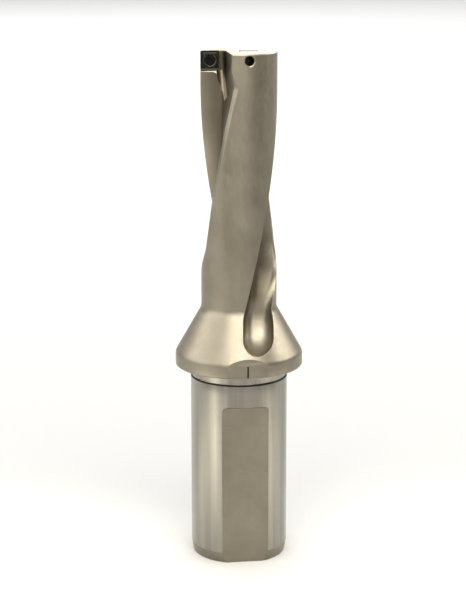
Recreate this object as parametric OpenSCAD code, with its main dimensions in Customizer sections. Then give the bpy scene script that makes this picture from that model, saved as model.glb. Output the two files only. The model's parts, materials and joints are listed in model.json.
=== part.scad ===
// Indexable drill with two square inserts, a fluted body, a flange and a flatted shank.
// The origin is at the centre of the shank's rear face, +Z runs to the cutting end, the flats face -Y.

/* [Shank] */
// Diameter of the ground shank
shank_d = 32; // [25:0.5:40]
// Length from the rear face to the flange seat
shank_len = 65; // [55:1:80]
// Depth of the clamping flat below the shank's surface
flat_depth = 2; // [1:0.1:3]
// Distance from the flange seat to the upper end of the flat
flat_gap = 11; // [8:0.5:16]
// Corner radius of the cutter at the upper end of the flat
flat_end_r = 1.5; // [0.5:0.1:3]
// Length of the lead-in chamfer at the rear end
lead_len = 3.5; // [2:0.1:5]
// Depth of the lead-in chamfer on the radius
lead_depth = 0.7; // [0.3:0.1:1.5]
// Length of the grinding undercut below the flange
undercut_len = 3.4; // [2:0.1:5]
// Depth of the grinding undercut on the radius
undercut_depth = 0.4; // [0.2:0.05:0.8]

/* [Flange and cone] */
// Diameter of the flange
flange_d = 42; // [40:0.5:50]
// Height of the flange's rim up to the virtual corner with the cone
rim_h = 4.5; // [3:0.1:7]
// Radius that rounds the rim into the cone
rim_round = 3; // [1:0.1:4]
// Break of the rim's lower edge
rim_break = 0.4; // [0.2:0.1:1]
// Half angle of the cone
cone_half = 29.6; // [25:0.1:40]
// Radius of the fillet between cone and fluted body
neck_fillet = 4.4; // [2:0.1:8]
// Depth of the flat on the flange's rim
rim_flat_depth = 1.05; // [0.6:0.05:1.5]
// Width of the index line on the rim flat
index_w = 0.5; // [0.3:0.05:0.8]
// Length of the index line
index_len = 4; // [2:0.1:5]
// Depth of the index line
index_depth = 0.25; // [0.1:0.05:0.4]

/* [Fluted body] */
// Diameter of the fluted body
body_d = 24.8; // [22:0.1:27]
// Length from the flange seat to the end face
reach = 103.4; // [95:0.1:130]
// Break of the end face's outer edge
end_break = 0.3; // [0.1:0.05:0.6]
// Distance from the axis to the floor of a flute
flute_floor = 5.3; // [4.8:0.1:6]
// Corner radius between a flute's rake wall and its floor
flute_corner = 4; // [2:0.1:5]
// Twist of the flutes in degrees for each millimetre
flute_twist = 1.13; // [0.9:0.01:1.4]
// Angle between the rake wall and the middle of the floor in the outer insert's flute
outer_open = 19; // [10:0.5:25]
// The same angle in the inner insert's flute
inner_open = 10; // [6:0.5:20]
// The same angle at the cutting end, where both flutes are narrower
tip_open = 6.5; // [4:0.5:12]
// Length of the heel chamfer on the floor and on the land
heel_leg = 1.1; // [0.4:0.1:1.6]
// Length of the straight gullet at the cutting end
gullet_len = 4; // [2:0.5:8]
// Distance below the straight gullet over which the flute takes its full width
gullet_blend = 7; // [4:0.5:12]

/* [Flute run-out] */
// Direction of the run-out groove, from the flats' normal
exit_az = -8.6; // [-15:0.1:0]
// Distance from the axis to the middle of the run-out groove
exit_mid = 6.35; // [5.5:0.05:7]
// Width of the run-out groove
exit_w = 9.9; // [8:0.1:11]
// Height of the groove's lowest point above the flange seat
exit_low = 7; // [6.2:0.1:9]
// Radius of the arc along which the groove's floor rises
exit_rise = 12; // [9:0.5:16]
// Height above the flange seat where the groove's floor starts to turn into the flute's floor
turn_low = 16; // [14:0.5:22]
// Height where the flute's floor has its full twist
turn_high = 41; // [34:0.5:46]

/* [Inserts] */
// Cutting diameter
cut_d = 25; // [24.9:0.1:27]
// Side of the square insert
insert_side = 6.35; // [5.5:0.05:7]
// Thickness of the insert
insert_t = 2.4; // [2:0.05:3]
// Corner radius of the insert
insert_r = 0.5; // [0.2:0.1:0.8]
// Clearance angle of the insert's sides
insert_clear = 11; // [7:1:15]
// Height of the inserts' end edges above the end face
insert_proud = 0.35; // [0.1:0.05:0.8]
// Distance that the inner insert reaches past the axis
inner_past = 0.15; // [0:0.05:0.4]
// Gap between an insert's side and the wall of its pocket
pocket_gap = 0.05; // [0.02:0.01:0.1]
// Diameter of the relief hole in the pocket's corner
relief_d = 1.6; // [1:0.1:2]
// Leg of the chamfer along the lower edge of the outer pocket
ledge_leg = 0.55; // [0.3:0.05:0.8]
// Width of the slot beside the outer insert, which runs out below it
groove_d = 3; // [2:0.1:4]
// Distance of that slot's middle from the insert's side
groove_out = 0.6; // [0.3:0.1:1]
// Length of the slot's run-out below the insert
groove_len = 10; // [8:0.5:12]
// Lean of the run-out, which brings it up to the flute's surface
groove_lean = 25; // [18:0.5:30]
// Depth of the inner insert's gullet below the end face
inner_deep = 11; // [8:0.5:16]
// Width of that gullet beside the insert
inner_side = 0.5; // [0.3:0.1:1]

/* [Screws] */
// Diameter of the screw's thread
screw_d = 2.5; // [2:0.1:3]
// Diameter of the screw's head
screw_head_d = 3.6; // [3:0.1:4]
// Depth of the head's cone
screw_head_h = 1.1; // [0.7:0.05:1.4]
// Depth of the screw's head below the insert's rake face
screw_sunk = 0.15; // [0.05:0.05:0.3]
// Length of the screw
screw_len = 6; // [5:0.1:8]
// Depth of the six-lobe recess
recess_depth = 0.8; // [0.4:0.05:1]
// Diameter over the lobes of the recess
recess_d = 1.9; // [1.4:0.1:2.2]
// Diameter of one lobe of the recess
lobe_d = 0.55; // [0.4:0.01:0.7]
// Gap between the screw and the insert's hole
screw_gap = 0.1; // [0.05:0.01:0.2]

/* [Coolant] */
// Diameter of the coolant inlet at the rear
inlet_d = 10; // [8:0.5:14]
// Depth of the coolant inlet
inlet_len = 45; // [20:1:60]
// Width of the chamfer at the inlet's mouth
inlet_chamfer = 1; // [0.5:0.1:2]
// Diameter of the central channel
duct_d = 4; // [3:0.1:5]
// Diameter of the outlet in each land
outlet_d = 3.1; // [2:0.1:4]
// Width of the countersink at the outlet
outlet_chamfer = 0.35; // [0.1:0.05:0.6]
// Distance from the end face to the outlet's middle
outlet_drop = 2.1; // [1.9:0.1:4]
// Depth of the outlet
outlet_depth = 4; // [3:0.1:5]
// Direction of the outlet beside the flats' normal
outlet_az = 7.8; // [0:0.1:20]
// Direction of the outlet in the other land, from the opposite direction
back_outlet_az = 25; // [15:0.5:40]
// Diameter of the branches to the outlets
branch_d = 2.4; // [1.5:0.1:3]
// Distance from the end face to the fork of the central channel
branch_len = 25; // [18:1:40]

/* [Hidden] */
$fn = 96;

// Smallest overlap that keeps a cut from ending on a face
over = 1;
tip_z = shank_len + reach;
body_r = body_d / 2;
shank_r = shank_d / 2;
flange_r = flange_d / 2;
insert_top = tip_z + insert_proud;
// Distance of each insert's outer side from the axis
outer_out = cut_d / 2;
inner_out = insert_side - inner_past;
// Diameter of the insert's countersink, and the rooms below the screw and the corner relief
head_d = screw_head_d + 2 * screw_gap;
screw_floor = 4 * screw_gap;
relief_floor = 2 * pocket_gap;

// Sharp corner between cone and body, and the lengths that its two roundings take from the cone
neck_z = shank_len + rim_h + (flange_r - body_r) / tan(cone_half);
neck_cut = neck_fillet * tan(cone_half / 2);
rim_cut = rim_round * tan(cone_half / 2);

// Heights of the flute's stages
exit_r = exit_w / 2;
exit_low_z = shank_len + exit_low;
exit_bend_z = exit_low_z + exit_rise;
exit_round_z = exit_low_z + exit_r;
turn_low_z = shank_len + turn_low;
turn_high_z = shank_len + turn_high;
gullet_z = tip_z - gullet_len;
gullet_low_z = gullet_z - gullet_blend;
cut_top_z = tip_z + 3 * over;
// Points on each rounded corner of the cutters, and stretches on each straight side
arc_n = 7;
side_n = 3;

// Smooth step from 0 to 1 while z goes from a to b
function ramp(z, a, b) = let (t = min(1, max(0, (z - a) / (b - a)))) t * t * (3 - 2 * t);
function mix(a, b, t) = a + (b - a) * t;

// Direction of the rake wall's edge, at 90 degrees on the straight gullet of the cutting end
function edge_az(z) = 90 - flute_twist * max(0, gullet_z - z);
// Height at which that edge meets the near wall of the run-out groove
exit_near = exit_mid - exit_r;
exit_top_z = gullet_z - (90 - exit_az - asin(exit_near / body_r)) / flute_twist;
// Room between the body and the far wall above the run-out
far_more = body_r + 3 * over - exit_mid - exit_r;
// Direction that the floor of a flute with this opening faces
function open_at(z, open) = mix(open, tip_open, ramp(z, gullet_low_z, gullet_z));
function floor_az(z, open) = mix(exit_az, edge_az(z) + open_at(z, open), ramp(z, turn_low_z, turn_high_z));
// Direction of the rake wall: along the groove at the run-out, radial above
function wall_az(z) = mix(exit_az, edge_az(z), ramp(z, exit_top_z, turn_high_z));
// Distance of the floor from the axis, which rises on an arc at the run-out
function floor_at(z) = z >= exit_bend_z ? flute_floor :
    flute_floor + exit_rise - sqrt(exit_rise * exit_rise - pow(exit_bend_z - z, 2));
// Half width of the run-out groove, round at its lower end
function half_w(z) = z >= exit_round_z ? exit_r : sqrt(exit_r * exit_r - pow(exit_round_z - z, 2));
// Place of the far wall, which lies outside the body above the run-out
function far_at(z) = exit_mid + half_w(z) + far_more * ramp(z, neck_z + neck_cut, turn_high_z);
// Far side of the cutter, outside the cone at the run-out and outside the body above
function out_at(z) = mix(flange_r, body_r + over, ramp(z, exit_bend_z, neck_z + 2 * neck_cut)) + over;
// Place of the rake wall at the body's surface, across the floor's direction
function near_at(z, open) = z >= exit_top_z ?
    body_r * sin(edge_az(z) - floor_az(z, open)) : exit_mid - half_w(z);
function near_along(near) = sqrt(body_r * body_r - pow(min(body_r, abs(near)), 2));
// Share of the heel chamfer, which fades out at the run-out and at the cutting end
function heel_at(z) = ramp(z, turn_low_z, turn_high_z) * (1 - ramp(z, gullet_low_z, gullet_z));

// Points of a rounded corner at p, between directions a and b, with radius r
function corner(p, a, b, r) = let (
        half = (b - a) / 2,
        mid = p + r / sin(half) * [cos(a + half), sin(a + half)],
        from = a - 90,
        to = b - 270
    )
    [for (i = [0 : arc_n]) let (t = mix(from, to, i / arc_n)) mid + r * [cos(t), sin(t)]];

// Points on the straight way from a to b, without b
function stretch(a, b) = [for (i = [0 : side_n - 1]) mix(a, b, i / side_n)];

// Sharp heel where floor and land meet, seen with the floor's direction along +x
heel_y = sqrt(body_r * body_r - flute_floor * flute_floor);
heel_az = acos(flute_floor / body_r);
// Straight cut along the heel chamfer, from the floor to beyond the body
heel_line = [for (i = [0 : arc_n]) [flute_floor, heel_y - heel_leg]
    + (2 * heel_leg + 2 * over) * i / arc_n * [-sin(heel_az / 2), cos(heel_az / 2)]];

// Outline of the flute's cutter at height z, seen with the floor's direction along +x
function cut_ring(z, open) = let (
        near_y = near_at(z, open),
        along = near_along(near_y),
        tilt = wall_az(z) - floor_az(z, open),
        floor_x = floor_at(z),
        foot_y = near_y + (floor_x - along) * tan(tilt),
        top_y = near_y + (out_at(z) - along) * tan(tilt),
        r = min(flute_corner, corner_fill * half_w(z)),
        near = corner([floor_x, foot_y], tilt, 90, r),
        round_far = corner([floor_x, far_at(z)], -90, 0, r),
        far = [for (i = [0 : arc_n]) mix(round_far[i], heel_line[i], heel_at(z))]
    )
    concat(
        stretch([out_at(z), top_y], near[0]),
        near,
        [for (p = stretch(near[arc_n], far[0])) if (p != near[arc_n]) p],
        far,
        [[out_at(z), max(far_at(z), far[arc_n][1])]]
    );
function turned(p, az) = [p[1] * cos(az) + p[0] * sin(az), p[1] * sin(az) - p[0] * cos(az)];

// Heights at which the cutter's outline is taken: close together on the run-out, even above it
exit_steps = 9;
exit_steep = 86;
// Share of the run-out groove's half width that its corners may take
corner_fill = 0.9;
flute_steps = 40;
flute_zs = concat(
    [for (i = [0 : exit_steps - 1]) exit_bend_z - exit_rise * sin(exit_steep * (1 - i / exit_steps))],
    [for (i = [0 : flute_steps]) mix(exit_bend_z, tip_z + over, i / flute_steps)],
    [cut_top_z]
);

module loft(rings) {
    n = len(rings[0]);
    m = len(rings);
    points = [for (ring = rings) each ring];
    sides = [for (j = [0 : m - 2], i = [0 : n - 1], half = [0, 1]) let (
            a = j * n + i,
            b = j * n + (i + 1) % n
        ) half == 0 ? [a, b, b + n] : [a, b + n, a + n]];
    polyhedron(
        points = points,
        faces = concat([[for (i = [n - 1 : -1 : 0]) i]], sides, [[for (i = [0 : n - 1]) (m - 1) * n + i]])
    );
}

module flute_cutter(open) {
    loft([for (z = flute_zs) [for (p = cut_ring(z, open)) concat(turned(p, floor_az(z, open)), z)]]);
}

// Half section of the turned blank
module blank_section() {
    rim_round_z = shank_len + rim_h - rim_cut;
    neck_top_z = neck_z + neck_cut;
    neck_low = [
        body_r + neck_fillet * (1 - cos(cone_half)),
        neck_top_z - neck_fillet * sin(cone_half)
    ];
    rim_top = [
        flange_r - rim_round * (1 - cos(cone_half)),
        rim_round_z + rim_round * sin(cone_half)
    ];
    difference() {
        union() {
            polygon([
                [0, 0],
                [shank_r - lead_depth, 0],
                [shank_r, lead_len],
                [shank_r, shank_len - undercut_len - undercut_depth],
                [shank_r - undercut_depth, shank_len - undercut_len],
                [shank_r - undercut_depth, shank_len],
                [flange_r - rim_break, shank_len],
                [flange_r, shank_len + rim_break],
                [flange_r, rim_round_z],
                rim_top,
                neck_low,
                [body_r, neck_top_z],
                [body_r, tip_z - end_break],
                [body_r - end_break, tip_z],
                [0, tip_z]
            ]);
            intersection() {
                translate([flange_r - rim_round, rim_round_z]) circle(r = rim_round);
                polygon([
                    [flange_r - rim_round, rim_round_z],
                    [flange_r + over, rim_round_z],
                    rim_top + over * [cos(cone_half), sin(cone_half)],
                    rim_top
                ]);
            }
        }
        intersection() {
            translate([body_r + neck_fillet, neck_top_z]) circle(r = neck_fillet);
            polygon([[body_r, neck_top_z], [body_r + neck_fillet, neck_top_z], neck_low]);
        }
    }
}

// Side wall of a milled flat: straight, with the cutter's corner radius at its upper end
module flat_section(depth, top_z) {
    difference() {
        translate([-shank_r - over, -over]) square([depth + over, top_z + over]);
        difference() {
            translate([depth - shank_r - flat_end_r, top_z - flat_end_r]) square(flat_end_r + over);
            translate([depth - shank_r - flat_end_r, top_z - flat_end_r]) circle(r = flat_end_r);
        }
    }
}

// Clamping flat of the shank, rim flat of the flange and the index line on it
module flats() {
    rotate([90, 0, 90])
        translate([0, 0, -shank_d])
            linear_extrude(height = 2 * shank_d) flat_section(flat_depth, shank_len - flat_gap);
    translate([-flange_r, -flange_r - over, shank_len - over])
        cube([flange_d, rim_flat_depth + over, neck_z - shank_len]);
    translate([-index_w / 2, -flange_r - over, shank_len - over])
        cube([index_w, rim_flat_depth + index_depth + over, index_len + over]);
}

// Stands what is drawn for an insert with its outer lower corner at the origin, rake face on y = 0
module at_insert(out) {
    translate([-out, 0, insert_top - insert_side]) children();
}
module at_screw() {
    translate([insert_side / 2, 0, insert_side / 2]) rotate([-90, 0, 0]) children();
}

// Pocket that is open to the outside and to the end face, with a relieved corner and the screw's hole
module pocket() {
    translate([-over, -over, -pocket_gap])
        cube([insert_side + pocket_gap + over, insert_t + over, insert_side + 2 * over]);
    translate([insert_side + pocket_gap - relief_d / 4, -over, relief_d / 4 - pocket_gap])
        rotate([-90, 0, 0]) cylinder(d = relief_d, h = insert_t + relief_floor + over);
    at_screw() cylinder(d = screw_d + 2 * screw_gap, h = screw_sunk + screw_len + screw_floor);
}

// Chamfer between the outer pocket's floor and the flute's wall below it
module pocket_ledge() {
    side = ledge_leg * sqrt(2);
    translate([-over, 0, -pocket_gap])
        rotate([45, 0, 0])
            translate([0, -side / 2, -side / 2]) cube([insert_side + pocket_gap + over, side, side]);
}

// Slot that is open to the front and has a round bottom
module open_slot(h) {
    cylinder(d = groove_d, h = h);
    translate([-groove_d / 2, -body_r, 0]) cube([groove_d, body_r, h]);
}

// Slot beside the outer insert, with a leaning run-out that leads the chips into the flute
module chip_groove() {
    bend = groove_d / 2 * tan(groove_lean);
    translate([insert_side + groove_out, relief_d / 2, 0]) {
        open_slot(insert_side + over);
        rotate([-groove_lean, 0, 0]) translate([0, 0, -groove_len]) open_slot(groove_len + bend);
    }
}

// Gullet in front of the inner insert, which reaches past the axis and has a round floor
module inner_gullet() {
    width = insert_side + inner_side + over;
    floor_z = tip_z - inner_deep;
    translate([inner_past + inner_side - width, -body_d, floor_z + width / 2])
        cube([width, body_d, inner_deep]);
    translate([inner_past + inner_side - width / 2, 0, floor_z + width / 2])
        rotate([90, 0, 0]) cylinder(d = width, h = body_d);
}

// Coolant inlet on the axis, the central channel and one branch to the outlet in each land
module coolant() {
    outlet_z = tip_z - outlet_drop;
    branch_z = tip_z - branch_len;
    branch_rise = outlet_z - branch_z;
    branch_run = body_r - outlet_depth;
    translate([0, 0, -over]) cylinder(d = inlet_d, h = inlet_len + over);
    translate([0, 0, -over])
        cylinder(r1 = inlet_d / 2 + inlet_chamfer + over, r2 = inlet_d / 2, h = inlet_chamfer + over);
    cylinder(d = duct_d, h = branch_z);
    for (az = [outlet_az, 180 + back_outlet_az]) rotate([0, 0, az]) {
        translate([0, -branch_run, outlet_z]) rotate([90, 0, 0]) cylinder(d = outlet_d, h = body_r);
        translate([0, outlet_chamfer - body_r, outlet_z])
            rotate([90, 0, 0])
                cylinder(r1 = outlet_d / 2, r2 = outlet_d / 2 + 2 * outlet_chamfer, h = 2 * outlet_chamfer);
        translate([0, 0, branch_z])
            rotate([atan2(branch_run - outlet_d / 4, branch_rise), 0, 0])
                translate([0, 0, -branch_d / 2])
                    cylinder(d = branch_d, h = norm([branch_run, branch_rise]) + branch_d / 2);
    }
}

module drill_body() {
    color([0.55, 0.52, 0.46])
    difference() {
        rotate_extrude() blank_section();
        flute_cutter(inner_open);
        rotate([0, 0, 180]) flute_cutter(outer_open);
        flats();
        at_insert(outer_out) pocket();
        at_insert(outer_out) pocket_ledge();
        at_insert(outer_out) chip_groove();
        rotate([0, 0, 180]) {
            at_insert(inner_out) pocket();
            inner_gullet();
        }
        coolant();
    }
}

// Square insert with rounded corners, sides that lean back and a countersunk hole
module insert() {
    lean = insert_t * tan(insert_clear);
    small = (insert_side - 2 * lean) / insert_side;
    difference() {
        at_screw()
            linear_extrude(height = insert_t, scale = small)
                offset(r = insert_r, $fn = 32) square(insert_side - 2 * insert_r, center = true);
        at_screw() translate([0, 0, -over]) cylinder(d = screw_d + 2 * screw_gap, h = insert_t + 2 * over);
        at_screw() translate([0, 0, -over]) cylinder(d = head_d, h = screw_sunk + over);
        at_screw() translate([0, 0, screw_sunk])
            cylinder(r1 = head_d / 2, r2 = screw_d / 2 + screw_gap, h = screw_head_h);
    }
}

module outer_insert() {
    color([0.2, 0.2, 0.19]) at_insert(outer_out) insert();
}

module inner_insert() {
    color([0.2, 0.2, 0.19]) rotate([0, 0, 180]) at_insert(inner_out) insert();
}

// Countersunk screw with a six-lobe recess, its head's face at the origin
module screw() {
    difference() {
        union() {
            cylinder(d1 = screw_head_d, d2 = screw_d, h = screw_head_h);
            translate([0, 0, screw_head_h]) cylinder(d = screw_d, h = screw_len - screw_head_h);
        }
        translate([0, 0, -over]) cylinder(d = recess_d - lobe_d, h = recess_depth + over);
        for (i = [0 : 5]) rotate([0, 0, 60 * i])
            translate([(recess_d - lobe_d) / 2, 0, -over]) cylinder(d = lobe_d, h = recess_depth + over);
    }
}

module insert_screws() {
    color([0.08, 0.08, 0.08]) {
        at_insert(outer_out) at_screw() translate([0, 0, screw_sunk]) screw();
        rotate([0, 0, 180]) at_insert(inner_out) at_screw() translate([0, 0, screw_sunk]) screw();
    }
}

drill_body();
outer_insert();
inner_insert();
insert_screws();
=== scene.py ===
# %% [markdown]
# An indexable drill. A turned steel body carries two helical flutes, a conical flange and a ground
# shank, and two screwed carbide inserts do the cutting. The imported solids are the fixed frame: each
# piece below takes the place of one of them, in metres and in the same axes, with finer edges and
# with its finish.

# %% Frame
import json
import math

import bmesh
import bpy
import numpy as np
from mathutils import Matrix, Vector

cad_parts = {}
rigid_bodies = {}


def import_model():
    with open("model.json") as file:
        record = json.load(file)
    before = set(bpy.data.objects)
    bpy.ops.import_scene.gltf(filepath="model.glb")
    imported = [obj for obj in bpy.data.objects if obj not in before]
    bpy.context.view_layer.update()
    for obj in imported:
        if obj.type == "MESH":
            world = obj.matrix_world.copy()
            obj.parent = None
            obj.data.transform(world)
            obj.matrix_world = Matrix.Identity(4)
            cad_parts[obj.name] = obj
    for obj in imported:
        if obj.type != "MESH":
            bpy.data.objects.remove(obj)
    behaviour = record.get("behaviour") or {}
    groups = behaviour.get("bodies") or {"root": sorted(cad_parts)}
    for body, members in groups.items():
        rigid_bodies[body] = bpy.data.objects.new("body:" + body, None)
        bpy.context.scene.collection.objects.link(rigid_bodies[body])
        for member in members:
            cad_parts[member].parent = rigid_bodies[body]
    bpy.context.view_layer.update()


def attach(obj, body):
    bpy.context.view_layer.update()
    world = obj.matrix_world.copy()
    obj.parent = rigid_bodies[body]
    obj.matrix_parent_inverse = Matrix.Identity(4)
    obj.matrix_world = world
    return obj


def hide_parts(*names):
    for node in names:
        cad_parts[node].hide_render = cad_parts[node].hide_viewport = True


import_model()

MM = 0.001

# %% [markdown]
# The camera comes first, because every later choice is judged through it. It stands a little left of
# the clamping flat and looks down by 13 degrees. A long lens keeps the drill's sides nearly parallel,
# and a small sideways shift puts the axis where the picture has it.

# %% Camera
EYE_ANGLE = math.radians(-8.6)
EYE_REACH = 590.2 * MM
EYE_HEIGHT = 225.9 * MM
EYE_PITCH = math.radians(13.17)
SENSOR, PICTURE_PX, FOCAL_PX, SHIFT_PX = 36.0, 592.0, 1835.7, -5.9

eye = bpy.data.cameras.new("eye")
eye.sensor_width = SENSOR
eye.lens = FOCAL_PX * SENSOR / PICTURE_PX
eye.shift_x = SHIFT_PX / PICTURE_PX
eye.clip_start = 0.01
eye.clip_end = 30.0
eye_object = bpy.data.objects.new("eye", eye)
eye_object.location = (EYE_REACH * math.sin(EYE_ANGLE), -EYE_REACH * math.cos(EYE_ANGLE), EYE_HEIGHT)
eye_object.rotation_euler = (math.radians(90) - EYE_PITCH, 0.0, EYE_ANGLE)
bpy.context.scene.collection.objects.link(eye_object)
bpy.context.scene.camera = eye_object
print("camera: lens %.1f mm, shift %.4f" % (eye.lens, eye.shift_x))

# %% [markdown]
# Helpers for node trees. A finish or a shape is written as a chain of nodes, and short functions keep
# those chains readable: two add a node with its values, and the others start a finish and give it
# grain, a range of values, colours and relief.

# %% Node helpers
def add_node(tree, kind, settings=None, **values):
    node = tree.nodes.new(kind)
    for key, value in (settings or {}).items():
        setattr(node, key, value)
    for key, value in values.items():
        node.inputs[key.replace("_", " ")].default_value = value
    return node


def math_node(tree, operation, a, b=None):
    node = tree.nodes.new("ShaderNodeMath")
    node.operation = operation
    for socket, value in zip(node.inputs, (a, b)):
        if value is None:
            continue
        if isinstance(value, (int, float)):
            socket.default_value = value
        else:
            tree.links.new(value, socket)
    return node.outputs[0]


def new_finish(name):
    finish = bpy.data.materials.new(name)
    finish.use_nodes = True
    tree = finish.node_tree
    shader = tree.nodes["Principled BSDF"]
    place = tree.nodes.new("ShaderNodeTexCoord")
    return finish, tree, shader, place.outputs["Object"]


def grain(tree, place, size, stretch=(1, 1, 1), detail=2.0):
    """Noise whose grains are about one size across, in metres, drawn out along an axis by stretch."""
    mapping = tree.nodes.new("ShaderNodeMapping")
    mapping.inputs["Scale"].default_value = stretch
    tree.links.new(place, mapping.inputs["Vector"])
    noise = add_node(tree, "ShaderNodeTexNoise", Scale=1.0 / size, Detail=detail)
    tree.links.new(mapping.outputs["Vector"], noise.inputs["Vector"])
    return noise.outputs["Fac"]


def spread(tree, factor, low, high, dark=0.35, light=0.65):
    """Map a noise's middle range onto low to high."""
    node = add_node(tree, "ShaderNodeMapRange")
    for key, value in (("From Min", dark), ("From Max", light), ("To Min", low), ("To Max", high)):
        node.inputs[key].default_value = value
    tree.links.new(factor, node.inputs["Value"])
    return node.outputs["Result"]


def tint(tree, factor, dark, light, wear_and_highlight=None):
    """Colour that goes from dark to light with the factor, and on to a third colour where it is 1."""
    node = tree.nodes.new("ShaderNodeValToRGB")
    node.color_ramp.elements[0].position = 0.3
    node.color_ramp.elements[0].color = (*dark, 1)
    node.color_ramp.elements[1].position = 0.7
    node.color_ramp.elements[1].color = (*light, 1)
    if wear_and_highlight:
        node.color_ramp.elements.new(1.0).color = (*wear_and_highlight, 1)
    tree.links.new(factor, node.inputs["Fac"])
    return node.outputs["Color"]


def relief(tree, shader, height, depth, strength, edge=0.0):
    """Bump of a depth in metres, over normals that are rounded at sharp edges by the edge radius."""
    bump = add_node(tree, "ShaderNodeBump", Strength=strength, Distance=depth)
    tree.links.new(height, bump.inputs["Height"])
    if edge:
        rounding = add_node(tree, "ShaderNodeBevel", {"samples": 6}, Radius=edge)
        tree.links.new(rounding.outputs["Normal"], bump.inputs["Normal"])
    tree.links.new(bump.outputs["Normal"], shader.inputs["Normal"])


print("helpers ready")

# %% [markdown]
# The body is blasted and nickel plated. Blasting leaves a fine dull grain, so the metal gives wide
# soft reflections, and the plating has a slight warm tone that varies in soft clouds. Deep in the
# flutes a dark brown is painted in as painted shade; it grows towards the axis, between the cone and
# the end face. The shank and the seats of the inserts are ground after plating: they are smoother,
# and fine grinding lines run round the axis. Upright streaks of lighter and darker colour are painted
# into them as painted reflections.

# %% Finishes of the steel
# Painted shade in the flutes: how dark it gets near the axis, and the heights where it starts and ends.
PAINTED_SHADE_MOST, PAINTED_SHADE_DEEP, PAINTED_SHADE_EDGE = 0.75, 7 * MM, 12.3 * MM
PAINTED_SHADE_FROM, PAINTED_SHADE_FULL, PAINTED_SHADE_LAST, PAINTED_SHADE_END = 84 * MM, 89 * MM, 168.0 * MM, 168.3 * MM
# A Mix node has a set of sockets for each type of value, and these are the ones for colours.
MIX_PLATED, MIX_SHADED, MIX_COLOUR = 6, 7, 2

satin, tree, shader, place = new_finish("satin_nickel")
shader.inputs["Metallic"].default_value = 1.0
clouds = grain(tree, place, 9 * MM, detail=4.0)
flat_place = add_node(tree, "ShaderNodeVectorMath", {"operation": "MULTIPLY"})
flat_place.inputs[1].default_value = (1, 1, 0)
tree.links.new(place, flat_place.inputs[0])
from_axis = add_node(tree, "ShaderNodeVectorMath", {"operation": "LENGTH"})
tree.links.new(flat_place.outputs["Vector"], from_axis.inputs[0])
height = tree.nodes.new("ShaderNodeSeparateXYZ")
tree.links.new(place, height.inputs[0])
# Painted shade: dark brown towards the axis, only between the cone and just below the end face.
shade_towards_axis = spread(tree, from_axis.outputs["Value"], PAINTED_SHADE_MOST, 0.0, dark=PAINTED_SHADE_DEEP, light=PAINTED_SHADE_EDGE)
above = spread(tree, height.outputs["Z"], 0.0, 1.0, dark=PAINTED_SHADE_FROM, light=PAINTED_SHADE_FULL)
below = spread(tree, height.outputs["Z"], 1.0, 0.0, dark=PAINTED_SHADE_LAST, light=PAINTED_SHADE_END)
painted_shade = math_node(tree, "MULTIPLY", shade_towards_axis, math_node(tree, "MULTIPLY", above, below))
plating = add_node(tree, "ShaderNodeMix", {"data_type": "RGBA"})
plated = tint(tree, clouds, (0.212, 0.19, 0.148), (0.257, 0.233, 0.184))
painted_shade_colour = tint(tree, clouds, (0.075, 0.058, 0.038), (0.1, 0.079, 0.054))
tree.links.new(painted_shade, plating.inputs["Factor"])
tree.links.new(plated, plating.inputs[MIX_PLATED])
tree.links.new(painted_shade_colour, plating.inputs[MIX_SHADED])
tree.links.new(plating.outputs[MIX_COLOUR], shader.inputs["Base Color"])
tree.links.new(spread(tree, grain(tree, place, 1.2 * MM), 0.38, 0.46), shader.inputs["Roughness"])
relief(tree, shader, grain(tree, place, 0.12 * MM), 0.01 * MM, 0.35, edge=0.15 * MM)

ground, tree, shader, place = new_finish("ground_shank")
shader.inputs["Metallic"].default_value = 1.0
lines = grain(tree, place, 0.25 * MM, stretch=(0.02, 0.02, 1), detail=3.0)
# Upright streaks of lighter and darker colour, painted reflections on the ground steel.
reflection_streaks = grain(tree, place, 3.5 * MM, stretch=(1, 1, 0.03), detail=4.0)
painted_reflection_colour = tint(tree, reflection_streaks, (0.2, 0.19, 0.162), (0.345, 0.33, 0.284))
tree.links.new(painted_reflection_colour, shader.inputs["Base Color"])
tree.links.new(spread(tree, lines, 0.17, 0.27), shader.inputs["Roughness"])
relief(tree, shader, lines, 0.004 * MM, 0.3, edge=0.15 * MM)

# Nearly black finish: painted shade for holes, the index groove and the undercut's shoulder.
shaded_bore, tree, shader, place = new_finish("painted_shade_bore")
shader.inputs["Metallic"].default_value = 1.0
bore_shade_grain = grain(tree, place, 0.8 * MM, detail=3.0)
painted_bore_shade = tint(tree, bore_shade_grain, (0.02, 0.018, 0.015), (0.05, 0.045, 0.04))
tree.links.new(painted_bore_shade, shader.inputs["Base Color"])
tree.links.new(spread(tree, bore_shade_grain, 0.45, 0.6), shader.inputs["Roughness"])
print("finishes:", satin.name, ground.name, shaded_bore.name)

# %% [markdown]
# The inserts are pressed and sintered carbide under a dark grey coating, which is fine grained and a
# little glossy. It is lighter on the cutting edges and round the hole's rim, partly from wear of the
# coating and partly as a painted highlight. The screws are blackened steel.

# %% Finishes of the inserts and screws
carbide, tree, shader, place = new_finish("carbide_coating")
shader.inputs["Metallic"].default_value = 0.9
mottle = grain(tree, place, 0.7 * MM, detail=4.0)
# Lighter edges and hole rim from an attribute: partly coating wear, partly painted highlight.
edge_wear_and_highlight = add_node(tree, "ShaderNodeAttribute", {"attribute_name": "wear_and_highlight"})
coating = math_node(tree, "MAXIMUM", mottle, edge_wear_and_highlight.outputs["Fac"])
coated = tint(tree, coating, (0.012, 0.011, 0.008), (0.028, 0.026, 0.02), wear_and_highlight=(0.26, 0.25, 0.22))
tree.links.new(coated, shader.inputs["Base Color"])
tree.links.new(spread(tree, mottle, 0.3, 0.42), shader.inputs["Roughness"])
relief(tree, shader, grain(tree, place, 0.07 * MM), 0.006 * MM, 0.3, edge=0.05 * MM)

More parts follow.
